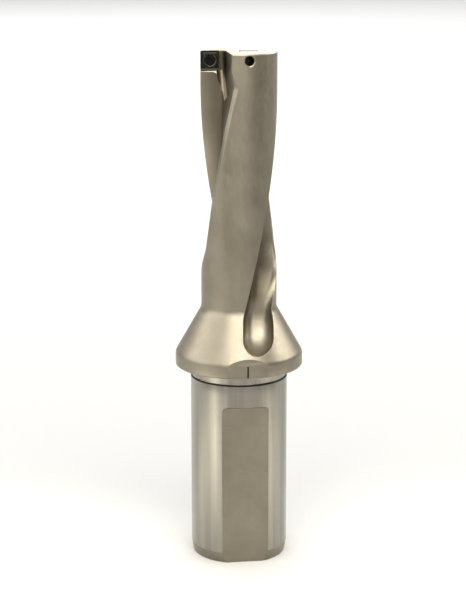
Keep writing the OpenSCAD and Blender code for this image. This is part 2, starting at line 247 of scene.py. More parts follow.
oxide, tree, shader, place = new_finish("black_oxide")
shader.inputs["Metallic"].default_value = 0.85
film = grain(tree, place, 0.5 * MM, detail=3.0)
blackened = tint(tree, film, (0.005, 0.005, 0.005), (0.014, 0.013, 0.012))
tree.links.new(blackened, shader.inputs["Base Color"])
tree.links.new(spread(tree, film, 0.22, 0.34), shader.inputs["Roughness"])
relief(tree, shader, film, 0.004 * MM, 0.25, edge=0.04 * MM)
print("finishes:", carbide.name, oxide.name)

# %% [markdown]
# The sizes of the body, in millimetres, are those of the solids: the turned blank first, then the
# flute. Seen along the axis, each flute has a rake wall, a rounded corner and a flat floor, and at its
# lower end it straightens into a round-ended groove that climbs out through the cone.

# %% Sizes of the blank
SHANK_R, SHANK_LEN, FLANGE_R, BODY_R = 16.0, 65.0, 21.0, 12.4
TIP = 168.4
CONE = math.radians(29.6)
RIM_H, RIM_ROUND, NECK_FILLET = 4.5, 3.0, 4.4
RIM_ROUND_Z = SHANK_LEN + RIM_H - RIM_ROUND * math.tan(CONE / 2)
NECK_Z = SHANK_LEN + RIM_H + (FLANGE_R - BODY_R) / math.tan(CONE)
NECK_TOP = NECK_Z + NECK_FILLET * math.tan(CONE / 2)
NECK_LOW = NECK_TOP - NECK_FILLET * math.sin(CONE)


def blank_radius(z):
    """Radius of the turned blank above the flange's rim."""
    if z < RIM_ROUND_Z + RIM_ROUND * math.sin(CONE):
        rise = max(0.0, z - RIM_ROUND_Z)
        return FLANGE_R - RIM_ROUND + math.sqrt(RIM_ROUND ** 2 - rise ** 2)
    if z < NECK_LOW:
        return FLANGE_R - (z - SHANK_LEN - RIM_H) * math.tan(CONE)
    if z < NECK_TOP:
        return BODY_R + NECK_FILLET - math.sqrt(NECK_FILLET ** 2 - (NECK_TOP - z) ** 2)
    return BODY_R - max(0.0, z - TIP + 0.3)


print("cone from %.1f to %.1f mm" % (SHANK_LEN + RIM_H, NECK_TOP))

# %% [markdown]
# A flute is a set of numbers that change with the height. Its direction turns with the helix, it opens
# above the run-out and closes again at the straight gullet, and towards the cone it blends into the
# run-out groove. Smooth ramps between two heights do that without a step.

# %% Sizes of the flute
FLOOR, CORNER, EXIT_DEG = 5.3, 4.0, -8.6
EXIT_MID, EXIT_R, EXIT_LOW, EXIT_RISE = 6.35, 4.95, 72.0, 12.0
EXIT_ROUND, EXIT_BEND = EXIT_LOW + EXIT_R, EXIT_LOW + EXIT_RISE
TURN_LOW, TURN_HIGH, GULLET, GULLET_LOW = 81.0, 106.0, 164.4, 157.4
TWIST_DEG, OUTER_OPEN, INNER_OPEN, TIP_OPEN, HEEL_LEG = 1.13, 19.0, 10.0, 6.5, 1.1
exit_edge = math.degrees(math.asin((EXIT_MID - EXIT_R) / BODY_R))
EXIT_TOP = GULLET - (90 - EXIT_DEG - exit_edge) / TWIST_DEG


def ramp(z, low, high):
    t = min(1.0, max(0.0, (z - low) / (high - low)))
    return t * t * (3 - 2 * t)


def mix(a, b, t):
    return a + (b - a) * t


def edge_direction(z):
    return 90 - TWIST_DEG * max(0.0, GULLET - z)


def bar_direction(z):
    """Angle by which the straight bar is turned at this height."""
    return mix(EXIT_DEG, edge_direction(z), ramp(z, TURN_LOW, TURN_HIGH))


def opening(z, wide):
    """Angle from the bar's direction to the middle of a flute's floor."""
    return ramp(z, TURN_LOW, TURN_HIGH) * mix(wide, TIP_OPEN, ramp(z, GULLET_LOW, GULLET))


def half_width(z):
    """Half the width of the run-out groove, which has a round lower end."""
    if z >= EXIT_ROUND:
        return EXIT_R
    return math.sqrt(max(0.0, EXIT_R ** 2 - (EXIT_ROUND - z) ** 2))


def floor_distance(z):
    """Distance from the axis to the floor, which climbs out along an arc at the lower end."""
    if z >= EXIT_BEND:
        return FLOOR
    return FLOOR + EXIT_RISE - math.sqrt(EXIT_RISE ** 2 - (EXIT_BEND - z) ** 2)


print("the bar turns %.0f degrees" % (bar_direction(TIP) - bar_direction(EXIT_LOW)))

# %% [markdown]
# A section through a flute at one height is a line in the flute's own frame: x points out of the
# floor, y across it. It runs down the rake wall, round the corner and along the floor. In the run-out
# it climbs a far wall, and above it a chamfer takes off the heel. Only the stretch inside the blank's
# circle is kept, and a small curve breaks its two edges, because a real edge always shows a thin
# bright line.

# %% Flute section
def rounded_corner(point, start, end, radius, count=16):
    half = (end - start) / 2
    way = np.array([math.cos(start + half), math.sin(start + half)])
    middle = point + radius / math.sin(half) * way
    turn = np.linspace(start - math.pi / 2, end - 3 * math.pi / 2, count)
    return middle + radius * np.stack([np.cos(turn), np.sin(turn)], axis=1)


HEEL_HALF = math.acos(FLOOR / BODY_R) / 2
heel_foot = np.array([FLOOR, BODY_R * math.sin(2 * HEEL_HALF) - HEEL_LEG])
heel_way = np.array([-math.sin(HEEL_HALF), math.cos(HEEL_HALF)])
heel_line = heel_foot + np.linspace(0, 2 * HEEL_LEG + 2, 16)[:, None] * heel_way


def cutter_line(z, wide):
    half = half_width(z)
    floor = floor_distance(z)
    out = mix(FLANGE_R, BODY_R + 1, ramp(z, EXIT_BEND, NECK_Z + 2 * (NECK_TOP - NECK_Z))) + 1
    far = EXIT_MID + half + (BODY_R + 3 - EXIT_MID - EXIT_R) * ramp(z, NECK_TOP, TURN_HIGH)
    face = bar_direction(z) + opening(z, wide)
    edge = edge_direction(z)
    tilt = math.radians(mix(EXIT_DEG, edge, ramp(z, EXIT_TOP, TURN_HIGH)) - face)
    near = BODY_R * math.sin(math.radians(edge - face)) if z >= EXIT_TOP else EXIT_MID - half
    along = math.sqrt(BODY_R ** 2 - min(BODY_R, abs(near)) ** 2)
    foot = near + (floor - along) * math.tan(tilt)
    top = near + (out - along) * math.tan(tilt)
    radius = min(CORNER, 0.9 * half)
    heel = ramp(z, TURN_LOW, TURN_HIGH) * (1 - ramp(z, GULLET_LOW, GULLET))
    end = mix(rounded_corner(np.array([floor, far]), -math.pi / 2, 0.0, radius), heel_line, heel)
    near_side = rounded_corner(np.array([floor, foot]), tilt, math.pi / 2, radius)
    return np.vstack([[[out, top]], near_side, end, [[out, max(far, end[-1, 1])]]])


def resample(line, count):
    """Points at even steps along a line, its two ends included."""
    step = np.concatenate([[0], np.cumsum(np.linalg.norm(np.diff(line, axis=0), axis=1))])
    where = np.linspace(0, step[-1], count)
    return np.stack([np.interp(where, step, line[:, k]) for k in (0, 1)], axis=1)


def circle_crossing(inside, outside, radius):
    way = outside - inside
    a, b, c = way @ way, 2 * inside @ way, inside @ inside - radius ** 2
    return inside + way * (-b + math.sqrt(b * b - 4 * a * c)) / (2 * a)


def flute_line(z, radius, wide):
    """The part of the cutter's line that lies inside the blank at this height."""
    line = resample(cutter_line(z, wide), 900)
    inside = np.nonzero(np.hypot(line[:, 0], line[:, 1]) < radius)[0]
    first, last = inside[0], inside[-1]
    start = circle_crossing(line[first], line[first - 1], radius)
    end = circle_crossing(line[last], line[last + 1], radius)
    return np.vstack([[start], line[first:last + 1], [end]])


middle = np.diff(flute_line(130.0, BODY_R, OUTER_OPEN), axis=0)
print("flute at mid length: %.1f mm of wall, floor and chamfer" % np.linalg.norm(middle, axis=1).sum())

# %% [markdown]
# The bar is stacked from rings, and it is made straight, as if the drill had no twist. Each ring has
# two flutes and two lands: the outer insert's flute is the wider one. Below the run-out grooves the
# rings are plain circles, so the shank and the flange come from the same stack.

# %% Rings of the straight bar
EDGE_BREAK = 0.14
N_FLUTE, N_LAND, N_EDGE = 60, 66, 4
N_CUT = N_FLUTE + 2 * (N_EDGE - 1)


def bend(a, corner, b):
    """Points of a small curve that replaces a sharp corner."""
    t = np.linspace(0, 1, N_EDGE)[:, None]
    return (1 - t) ** 2 * a + 2 * t * (1 - t) * corner + t ** 2 * b


def on_circle(angle, radius):
    return np.stack([radius * np.cos(angle), radius * np.sin(angle)], axis=-1)


def flute_points(z, radius, wide, turn):
    """One flute with broken edges, and the directions of its two ends, in the bar's frame."""
    line = flute_line(z, radius, wide)
    angle = math.radians(opening(z, wide) + turn)
    line = line @ np.array([[math.cos(angle), math.sin(angle)], [-math.sin(angle), math.cos(angle)]])
    length = np.linalg.norm(np.diff(line, axis=0), axis=1).sum()
    cut = min(EDGE_BREAK, 0.2 * length)
    fine = resample(line, int(length / 0.02) + 40)
    trim = max(1, int(round(cut / (length / (len(fine) - 1)))))
    inner = resample(fine[trim:-trim], N_FLUTE)
    a = math.atan2(line[0, 1], line[0, 0]) - cut / radius
    b = math.atan2(line[-1, 1], line[-1, 0]) + cut / radius
    rake = bend(on_circle(a, radius), line[0], inner[0])
    heel = bend(inner[-1], line[-1], on_circle(b, radius))
    return np.vstack([rake[:-1], inner, heel[1:]]), a, b


def ring_points(z, radius):
    first, a0, b0 = flute_points(z, radius, INNER_OPEN, 0)
    second, a1, b1 = flute_points(z, radius, OUTER_OPEN, 180)
    land = []
    for b, a in ((b0, a1), (b1, a0)):
        turn = np.linspace(b, b + (a - b) % (2 * math.pi), N_LAND + 2)[1:-1]
        land.append(on_circle(turn, radius))
    return np.vstack([first, land[0], second, land[1]])


def plain_ring(radius):
    start = math.atan2(EXIT_MID, math.sqrt(blank_radius(EXIT_LOW) ** 2 - EXIT_MID ** 2))
    land = np.linspace(start, start + math.pi, N_LAND + 2)[1:-1]
    half = np.concatenate([np.full(N_CUT, start), land])
    return on_circle(np.concatenate([half, half + math.pi]), radius)


def profile_arc(z0, z1, count):
    return [(z, blank_radius(z)) for z in np.linspace(z0, z1, count)]


lower = [(0.0, 15.1), (0.06, 15.24), (0.2, 15.34), (3.3, 15.96), (3.5, 15.99), (3.7, SHANK_R)]
lower += [(z, SHANK_R) for z in (20.0, 40.0, 48.0, 51.0, 53.0, 55.5, 58.0, 61.1)]
lower += [(61.2, 15.98), (61.6, 15.6), (64.7, 15.6), (64.9, 15.66), (65.0, 15.85)]
lower += [(65.0, 20.55), (65.03, 20.63), (65.37, 20.97), (65.45, FLANGE_R), (67.0, FLANGE_R)]
lower += profile_arc(RIM_ROUND_Z, RIM_ROUND_Z + RIM_ROUND * math.sin(CONE), 9)
lower += profile_arc(70.6, EXIT_LOW, 4)
upper = [EXIT_ROUND - EXIT_R * math.cos(t) for t in np.linspace(0, math.pi / 2, 27)[1:]]
upper += list(np.linspace(EXIT_ROUND, NECK_LOW, 16)[1:])
upper += list(np.linspace(NECK_LOW, NECK_TOP, 9)[1:])
upper += list(np.linspace(NECK_TOP, TIP - 0.3, 168)[1:]) + [TIP - 0.15, TIP]
rings = [(z, plain_ring(r)) for z, r in lower]
rings += [(z, ring_points(z, blank_radius(z))) for z in upper]
N_RING = len(rings[0][1])
print("rings: %d plain, %d fluted, %d points each" % (len(lower), len(upper), N_RING))

# %% [markdown]
# The rings have the same number of points, so the skin is a grid of four-sided faces from ring to ring.
# The rear end gets a fan about the axis, and the cutting end stays open until the bar is twisted.

# %% Mesh of the bar
def build_bar():
    points, faces = [], []
    for z, ring in rings:
        points += [(p[1] * MM, -p[0] * MM, z * MM) for p in ring]
    for j in range(len(rings) - 1):
        a, b = j * N_RING, (j + 1) * N_RING
        for i in range(N_RING):
            n = (i + 1) % N_RING
            faces.append((a + i, a + n, b + n, b + i))
    points.append((0.0, 0.0, 0.0))
    faces += [((i + 1) % N_RING, i, len(points) - 1) for i in range(N_RING)]
    mesh = bpy.data.meshes.new("straight_bar")
    mesh.from_pydata(points, [], faces)
    mesh.materials.append(satin)
    return mesh


bar = bpy.data.objects.new("drill_bar", build_bar())
bpy.context.scene.collection.objects.link(bar)
print("straight bar: %d points, %d faces" % (len(bar.data.vertices), len(bar.data.polygons)))

# %% [markdown]
# Now the rule that makes it a drill. A Geometry Nodes tree turns every point about the axis by an
# angle that depends on its height: constant in the run-out grooves, a steady helix above them, and
# straight again in the gullets at the cutting end. The angles and heights are named inputs, so another
# pitch is one number away. Points that lie on each other below the grooves are welded.

# %% Tree that twists the bar
def socket_in(tree, name, value=None, kind="NodeSocketFloat"):
    socket = tree.interface.new_socket(name, in_out="INPUT", socket_type=kind)
    if value is not None:
        socket.default_value = value
    return socket.identifier


TWIST_INPUTS = {
    "Exit direction": EXIT_DEG, "Twist per metre": TWIST_DEG / MM, "Gullet height": GULLET * MM,
    "Turn from": TURN_LOW * MM, "Turn to": TURN_HIGH * MM,
}
twist = bpy.data.node_groups.new("twist_flutes", "GeometryNodeTree")
socket_in(twist, "Bar", kind="NodeSocketGeometry")
twist_ids = {name: socket_in(twist, name, 0.0) for name in TWIST_INPUTS}
finish_id = socket_in(twist, "Finish", kind="NodeSocketMaterial")
twist.interface.new_socket("Body", in_out="OUTPUT", socket_type="NodeSocketGeometry")
source, result = twist.nodes.new("NodeGroupInput"), twist.nodes.new("NodeGroupOutput")
given = source.outputs

where = twist.nodes.new("GeometryNodeInputPosition")
parts = twist.nodes.new("ShaderNodeSeparateXYZ")
twist.links.new(where.outputs[0], parts.inputs[0])
height = parts.outputs["Z"]
under = math_node(twist, "SUBTRACT", given["Gullet height"], height)
wound = math_node(twist, "MULTIPLY", math_node(twist, "MAXIMUM", under, 0.0), given["Twist per metre"])
helix = math_node(twist, "SUBTRACT", 90.0, wound)
blend = add_node(twist, "ShaderNodeMapRange", {"interpolation_type": "SMOOTHSTEP"})
for key, socket in (
    ("Value", height), ("From Min", given["Turn from"]), ("From Max", given["Turn to"]),
    ("To Min", given["Exit direction"]), ("To Max", helix),
):
    twist.links.new(socket, blend.inputs[key])
turned = add_node(twist, "ShaderNodeVectorRotate", {"rotation_type": "Z_AXIS"})
twist.links.new(where.outputs[0], turned.inputs["Vector"])
twist.links.new(math_node(twist, "RADIANS", blend.outputs["Result"]), turned.inputs["Angle"])
place_points = twist.nodes.new("GeometryNodeSetPosition")
twist.links.new(given["Bar"], place_points.inputs["Geometry"])
twist.links.new(turned.outputs["Vector"], place_points.inputs["Position"])
weld = add_node(twist, "GeometryNodeMergeByDistance", Distance=0.004 * MM)
twist.links.new(place_points.outputs["Geometry"], weld.inputs["Geometry"])
realize = twist.nodes.new("GeometryNodeRealizeInstances")
twist.links.new(weld.outputs["Geometry"], realize.inputs["Geometry"])
coat = twist.nodes.new("GeometryNodeSetMaterial")
twist.links.new(realize.outputs["Geometry"], coat.inputs["Geometry"])
twist.links.new(given["Finish"], coat.inputs["Material"])
twist.links.new(coat.outputs["Geometry"], result.inputs["Body"])
print("twist tree: %d nodes" % len(twist.nodes))

# %% [markdown]
# The tree runs on the straight bar with its inputs set by their identifiers. Its result is kept as a
# plain mesh, and the open end is closed.

# %% Twisted body
def grown(maker, tree, values):
    """Run a tree on an object and return the result as a plain mesh."""
    modifier = maker.modifiers.new("rule", "NODES")
    modifier.node_group = tree
    for identifier, value in values.items():
        modifier[identifier] = value
    graph = bpy.context.evaluated_depsgraph_get()
    mesh = bpy.data.meshes.new_from_object(maker.evaluated_get(graph), depsgraph=graph)
    maker.modifiers.clear()
    return mesh


def close_end(mesh):
    """Fill the open end with one face, because a fan from the axis would cross the flutes."""
    maker = bmesh.new()
    maker.from_mesh(mesh)
    bmesh.ops.dissolve_degenerate(maker, dist=0.001 * MM, edges=maker.edges)
    rim = [edge for edge in maker.edges if edge.is_boundary]
    end = bmesh.ops.edgeloop_fill(maker, edges=rim)["faces"]
    if end[0].normal.z < 0:
        end[0].normal_flip()
    maker.to_mesh(mesh)
    open_edges = sum(not edge.is_manifold for edge in maker.edges)
    maker.free()
    return len(rim), open_edges


values = {twist_ids[name]: value for name, value in TWIST_INPUTS.items()}
body_mesh = grown(bar, twist, {**values, finish_id: satin})
print("twisted body: %d points, end face of %d edges, %d edges left open" % (
    len(body_mesh.vertices), *close_end(body_mesh)))

# %% [markdown]
# What a mill or a drill cuts into the finished bar is taken away with booleans: the clamping flat and
# the rim flat, the insert pockets, their gullets and the coolant holes. Each cutter is a small closed
# mesh, drawn in millimetres, and cutters that overlap go in separate rounds.

# %% Cutters
def prism(outline, low, high, axis="z"):
    """Closed prism of an outline in the other two axes, between two places along an axis."""
    maker = bmesh.new()
    order = {"x": (2, 0, 1), "y": (1, 2, 0), "z": (0, 1, 2)}[axis]
    rows = []
    for t in (low, high):
        corners = [[(a, b, t)[k] * MM for k in order] for a, b in outline]
        rows.append([maker.verts.new(corner) for corner in corners])
    count = len(outline)
    maker.faces.new(rows[0][::-1])
    maker.faces.new(rows[1])
    for i in range(count):
        j = (i + 1) % count
        maker.faces.new((rows[0][i], rows[0][j], rows[1][j], rows[1][i]))
    return maker


def box(low, high):
    (x0, y0, z0), (x1, y1, z1) = low, high
    return prism([(x0, y0), (x1, y0), (x1, y1), (x0, y1)], z0, z1)


def lathe_z(stations, count=64):
    """Closed solid of revolution about +Z from (height, radius) stations."""
    maker = bmesh.new()
    turn = np.linspace(0, 2 * math.pi, count, endpoint=False)
    rows = []
    for z, r in stations:
        ring = [(r * MM * math.cos(t), r * MM * math.sin(t), z * MM) for t in turn]
        rows.append([maker.verts.new(point) for point in ring])
    maker.faces.new(rows[0][::-1])
    maker.faces.new(rows[-1])
    for low, high in zip(rows, rows[1:]):
        for i in range(count):
            j = (i + 1) % count
            maker.faces.new((low[i], low[j], high[j], high[i]))
    return maker


def moved(maker, *steps):
    for step in steps:
        bmesh.ops.transform(maker, matrix=step, verts=maker.verts)
    return maker


def shift(x, y, z):
    return Matrix.Translation((x * MM, y * MM, z * MM))


def turn_about(axis, degrees):
    return Matrix.Rotation(math.radians(degrees), 4, axis)


def cut_away(piece, makers, finish=satin):
    """Take the cutters away from the piece in one round."""
    joined = bpy.data.meshes.new("cutter")
    whole = bmesh.new()
    for maker in makers:
        bmesh.ops.recalc_face_normals(maker, faces=maker.faces)
        part = bpy.data.meshes.new("part")
        maker.to_mesh(part)
        maker.free()
        whole.from_mesh(part)
        bpy.data.meshes.remove(part)
    whole.to_mesh(joined)
    whole.free()
    joined.materials.append(finish)
    tool = bpy.data.objects.new("cutter", joined)
    bpy.context.scene.collection.objects.link(tool)
    knife = piece.modifiers.new("knife", "BOOLEAN")
    knife.operation, knife.solver, knife.object = "DIFFERENCE", "EXACT", tool
    knife.material_mode = "TRANSFER"
    graph = bpy.context.evaluated_depsgraph_get()
    mesh = bpy.data.meshes.new_from_object(piece.evaluated_get(graph), depsgraph=graph)
    piece.modifiers.clear()
    piece.data = mesh
    bpy.data.objects.remove(tool)
    return len(mesh.polygons)


body = bpy.data.objects.new("fluted_body", body_mesh)
bpy.context.scene.collection.objects.link(body)
bpy.data.objects.remove(bar)
print("cutters ready, body box", [round(v / MM, 2) for v in body.dimensions])

# %% [markdown]
# A holder's screw presses on the clamping flat, and the mill leaves a small hollow curve at its upper
# end. The flat on the rim is a plain cut, and its index line is a narrow groove whose walls are
# painted nearly black as painted shade.

# %% Flats and index line
FLAT_Y, FLAT_TOP, FLAT_ROUND = -14.0, 54.0, 1.5
RIM_FLAT_Y, INDEX_Y, INDEX_HALF, INDEX_TOP = -19.95, -19.7, 0.25, 69

flat_outline = [(-30.0, -1.0), (FLAT_Y, -1.0), (FLAT_Y, FLAT_TOP - FLAT_ROUND)]
for t in np.linspace(0, math.pi / 2, 9)[1:]:
    drop, rise = FLAT_ROUND * math.cos(t), FLAT_ROUND * math.sin(t)
    flat_outline.append((FLAT_Y - FLAT_ROUND + drop, FLAT_TOP - FLAT_ROUND + rise))
flat_outline.append((-30.0, FLAT_TOP))
shank_flat = prism(flat_outline, -25, 25, axis="x")
rim_flat = box((-FLANGE_R, -23, 64), (FLANGE_R, RIM_FLAT_Y, 78))
index_line = box((-INDEX_HALF, -23, 64), (INDEX_HALF, INDEX_Y, INDEX_TOP))
print("flats:", cut_away(body, [shank_flat, rim_flat]), "faces")
# The index groove's walls take the nearly black finish as painted shade.
print("index line:", cut_away(body, [index_line], shaded_bore), "faces")

# %% [markdown]
# Each insert sits in a pocket that is open to the end and to the outside, on a wall that backs it up.
# The corner of the pocket is drilled out, so the sharp corner of the insert stands free, and a hole
# takes the screw. The lower edge of the outer pocket is broken.

# %% Pockets
INSERT, INSERT_T, INSERT_TOP, GAP = 6.35, 2.4, 168.75, 0.05
OUTER_X, INNER_X = -12.5, -6.2
POCKET_Z = INSERT_TOP - INSERT
CORNER_R, THREAD_R, THREAD_END, SEAT_BREAK = 0.8, 1.35, 6.55, 0.55
CORNER_IN = 0.4
corner_x, corner_z = INSERT + GAP - CORNER_IN, CORNER_IN - GAP


def pocket_round(out_x, turn, edge_break):
    """Cutters of one pocket: the seat, the corner hole and the screw's hole."""
    home = (shift(out_x, 0, POCKET_Z), turn_about("Z", turn))
    foot = -GAP - edge_break - (1 if edge_break else 0)
    outline = [(-1, foot), (edge_break, -GAP), (INSERT_T, -GAP)]
    outline += [(INSERT_T, INSERT + 2), (-1, INSERT + 2)]
    seat = moved(prism(outline, -1, INSERT + GAP, axis="x"), *home)
    corner = lathe_z([(-1, CORNER_R), (INSERT_T + 0.1, CORNER_R)], 32)
    moved(corner, turn_about("X", -90), shift(corner_x, 0, corner_z), *home)
    thread = lathe_z([(1, THREAD_R), (THREAD_END, THREAD_R)], 48)
    moved(thread, turn_about("X", -90), shift(INSERT / 2, 0, INSERT / 2), *home)
    return [seat], [corner], [thread]


print("pocket floor at %.2f mm" % POCKET_Z)

# %% [markdown]
# A slot beside the outer insert leans out into the flute below it and leads the chips away, and in
# front of the inner insert a gullet with a round floor does. These are cut first and the pockets after
# them. Last, a steep facet below the outer pocket follows the flute's wall: it faces the light, and is
# the bright line under the insert.

# %% Chip slot, gullet and ledge
GROOVE_R, GROOVE_LEAN, GROOVE_BESIDE, GROOVE_IN, GROOVE_DOWN = 1.5, 25.0, 0.6, 0.8, 10
INNER_SPARE, INNER_PAST, INNER_DEEP = 0.5, 0.65, 11
LEDGE_H, LEDGE_IN, LEDGE_UP, LEDGE_LONG = 0.85, 0.32, 0.35, 5.3


def open_slot(low, high):
    """Slot with a round bottom, open towards -Y."""
    outline = [(GROOVE_R * math.cos(t), GROOVE_R * math.sin(t)) for t in np.linspace(0, math.pi, 25)]
    return prism(outline + [(-GROOVE_R, -BODY_R), (GROOVE_R, -BODY_R)], low, high)


slot_home = shift(OUTER_X + INSERT + GROOVE_BESIDE, GROOVE_IN, POCKET_Z)
slot_up = moved(open_slot(0, INSERT + 1), slot_home)
bend_up = GROOVE_R * math.tan(math.radians(GROOVE_LEAN))
slot_down = moved(open_slot(-GROOVE_DOWN, bend_up), turn_about("X", -GROOVE_LEAN), slot_home)
gullet_r = (INSERT + INNER_SPARE + 1) / 2
gullet_mid = INNER_PAST - gullet_r
gullet_z = TIP - INNER_DEEP + gullet_r
arc = np.linspace(-math.pi, 0, 33)
outline = [(gullet_z + gullet_r * math.sin(t), gullet_mid + gullet_r * math.cos(t)) for t in arc]
outline += [(TIP + 3, gullet_mid + gullet_r), (TIP + 3, gullet_mid - gullet_r)]
inner_gullet = moved(prism(outline, -BODY_R * 2, 0.02, axis="y"), turn_about("Z", 180))
for maker in (slot_up, slot_down, inner_gullet):
    cut_away(body, [maker])
for out_x, turn, edge_break in ((OUTER_X, 0, SEAT_BREAK), (INNER_X, 180, 0.0)):
    seat, corner, thread = pocket_round(out_x, turn, edge_break)
    cut_away(body, seat, ground)
    # The corner hole and the screw's hole take the nearly black finish as painted shade.
    cut_away(body, corner, shaded_bore)
    cut_away(body, thread, shaded_bore)
steep = LEDGE_H / LEDGE_IN
outline = [(-1, -GAP - LEDGE_H - steep), (LEDGE_IN + LEDGE_UP / steep, -GAP + LEDGE_UP)]
outline += [(-1, -GAP + LEDGE_UP)]
wall_turn = TWIST_DEG * (GULLET - POCKET_Z)
ledge = prism(outline, -1, LEDGE_LONG, axis="x")
moved(ledge, shift(OUTER_X, 0, POCKET_Z), turn_about("Z", -wall_turn))
print("pockets:", cut_away(body, [ledge], ground), "faces")

# %% [markdown]
# Coolant comes in at the rear, runs up the axis and forks to a hole in each land just below the
# cutting end. Only the ends that can be seen are cut here: the bore at the rear, and at each land a
# short hole with a small countersink that catches the light. The walls of the bore and of the holes
# are painted nearly black as painted shade.

# %% Coolant holes
INLET = [(-1, 7), (0, 6), (1, 5), (45, 5)]
OUTLET = [(0, 1.5), (0.05, 1.55), (8, 1.55)]
COUNTERSINK = [(0, 1.55), (0.7, 2.25)]
OUTLET_Z, OUTLET_DEPTH, SINK_DEPTH = TIP - 2.1, 4, 0.35
OUTLET_TURNS = (7.8, 205.0)

# The bore and the outlet holes take the nearly black finish as painted shade.
cut_away(body, [lathe_z(INLET, 96)], shaded_bore)
for azimuth in OUTLET_TURNS:
    sink, hole = lathe_z(COUNTERSINK, 64), lathe_z(OUTLET, 64)
    for maker, depth in ((sink, SINK_DEPTH), (hole, OUTLET_DEPTH)):
        moved(maker, turn_about("X", 90), shift(0, -BODY_R + depth, OUTLET_Z), turn_about("Z", azimuth))
    cut_away(body, [sink])
    faces = cut_away(body, [hole], shaded_bore)
print("coolant holes:", faces, "faces, finishes", [m.name for m in body.data.materials])

# %% [markdown]
# The last step on the body is its shading. Faces are smooth, edges of more than 28 degrees are sharp,
# and the round walls of the shank and of its undercut get the ground finish, while the flats stay
# satin. The undercut's low shoulder is painted nearly black as painted shade.

# %% Finish of the body's faces
GROUND_FROM, GROUND_TO = 3.5 * MM, 64.9 * MM
SHOULDER_FROM, SHOULDER_TO = 61.11 * MM, 61.6 * MM
WALL_FROM, WALL_UPRIGHT, SHOULDER_OUT, GROUND_OUT = 15.0 * MM, 0.9, 0.6, 0.95


def shade_by_angle(mesh, degrees):
    mesh.shade_smooth()
    mesh.set_sharp_from_angle(angle=math.radians(degrees))


ground_slot = list(body.data.materials).index(ground)
shaded_bore_slot = list(body.data.materials).index(shaded_bore)
for face in body.data.polygons:
    c, n = face.center, face.normal
    reach = math.hypot(c.x, c.y)
    if reach <= WALL_FROM or abs(n.z) >= WALL_UPRIGHT:
        continue
    outward = (n.x * c.x + n.y * c.y) / reach
    # The undercut's low shoulder takes the nearly black finish as painted shade.
    if SHOULDER_FROM < c.z < SHOULDER_TO and outward > SHOULDER_OUT:
        face.material_index = shaded_bore_slot
    elif GROUND_FROM < c.z < GROUND_TO and outward > GROUND_OUT:
        face.material_index = ground_slot
shade_by_angle(body.data, 28)
print("body: %d faces, slots %s" % (len(body.data.polygons), [m.name for m in body.data.materials]))

# %% [markdown]
# The insert is pressed as one block, so it is built as a stack of rounded squares. From the back: the
# sides lean out to the cutting edge, a narrow land follows, then the chip breaker dips behind it and
# rises to a flat boss round the countersunk hole. An attribute marks the rows on the cutting edge and
# on the hole's rim, which are lighter: partly wear of the coating, partly a painted highlight.

# %% Insert
CLEAR = math.tan(math.radians(11))
N_SQUARE = 96
# Rows drawn lighter, with their amounts: partly coating wear, partly painted highlight.
WEAR_AND_HIGHLIGHT_ROWS = {2: 0.9, 3: 1.0, 4: 0.5, 10: 0.5, 11: 0.9, 12: 1.0, 13: 1.0}


def rounded_square(half, radius):
    """Points of a square with rounded corners, at even steps along its outline."""
    radius = min(radius, half)
    line = []
    for k in range(4):
        turn = np.linspace(k * math.pi / 2, (k + 1) * math.pi / 2, 12)
        way = np.array([math.cos((k + 0.5) * math.pi / 2), math.sin((k + 0.5) * math.pi / 2)])
        mid = (half - radius) * math.sqrt(2) * way
        line.append(mid + radius * np.stack([np.cos(turn), np.sin(turn)], axis=1))
    line = np.vstack(line + [line[0][:1]])
    return resample(line, N_SQUARE + 1)[:-1]


def band(low, high):
    """Faces between two rows of N_SQUARE points, given by the rows' numbers."""
    a, b = low * N_SQUARE, high * N_SQUARE
    following = [(i + 1) % N_SQUARE for i in range(N_SQUARE)]
    return [(a + i, b + i, b + n, a + n) for i, n in enumerate(following)]


def closed_mesh(name, points, faces, finish):
    """Mesh of a closed shape with its faces turned outwards."""
    mesh = bpy.data.meshes.new(name)
    mesh.from_pydata(points, [], faces)
    maker = bmesh.new()
    maker.from_mesh(mesh)
    bmesh.ops.recalc_face_normals(maker, faces=maker.faces)
    maker.to_mesh(mesh)
    maker.free()
    mesh.materials.append(finish)
    return mesh


def insert_mesh(name):
    """Insert from rows of depth below its face, half the width and corner radius, in millimetres."""
    half = INSERT / 2
    back = [(INSERT_T, half - INSERT_T * CLEAR, 0.35)]
    edge = [(0.06, half - 0.06 * CLEAR, 0.5), (0.02, half - 0.02, 0.5), (0.0, half - 0.06, 0.46)]
    edge += [(0.0, half - 0.22, 0.4)]
    breaker = [(0.07, half - 0.36, 0.4), (0.12, half - 0.55, 0.4), (0.12, half - 0.7, 0.4)]
    breaker += [(0.06, half - 0.85, 0.45), (0.0, half - 0.98, 0.55)]
    hole = [(0.0, 2.05, 2.05), (0.0, 1.93, 1.93), (0.03, 1.9, 1.9), (0.15, 1.9, 1.9)]
    hole += [(1.25, 1.35, 1.35), (INSERT_T, 1.35, 1.35)]
    stack = back + edge + breaker + hole
    points, faces = [], []
    for depth, size, radius in stack:
        points += [(x * MM, y * MM, depth * MM) for x, y in rounded_square(size, radius)]
    for j in range(len(stack)):
        faces += band(j, (j + 1) % len(stack))
    mesh = closed_mesh(name, points, faces, carbide)
    wear_and_highlight = mesh.attributes.new("wear_and_highlight", "FLOAT", "POINT")
    for row, amount in WEAR_AND_HIGHLIGHT_ROWS.items():
        for item in wear_and_highlight.data[row * N_SQUARE:(row + 1) * N_SQUARE]:
            item.value = amount
    shade_by_angle(mesh, 24)
    return mesh


def seat_of(out_x, turn):
    """Matrix that stands an insert or a screw, drawn with its face at z = 0, in its pocket."""
    middle = shift(out_x + INSERT / 2, 0, POCKET_Z + INSERT / 2)
    return turn_about("Z", turn) @ middle @ turn_about("X", -90)


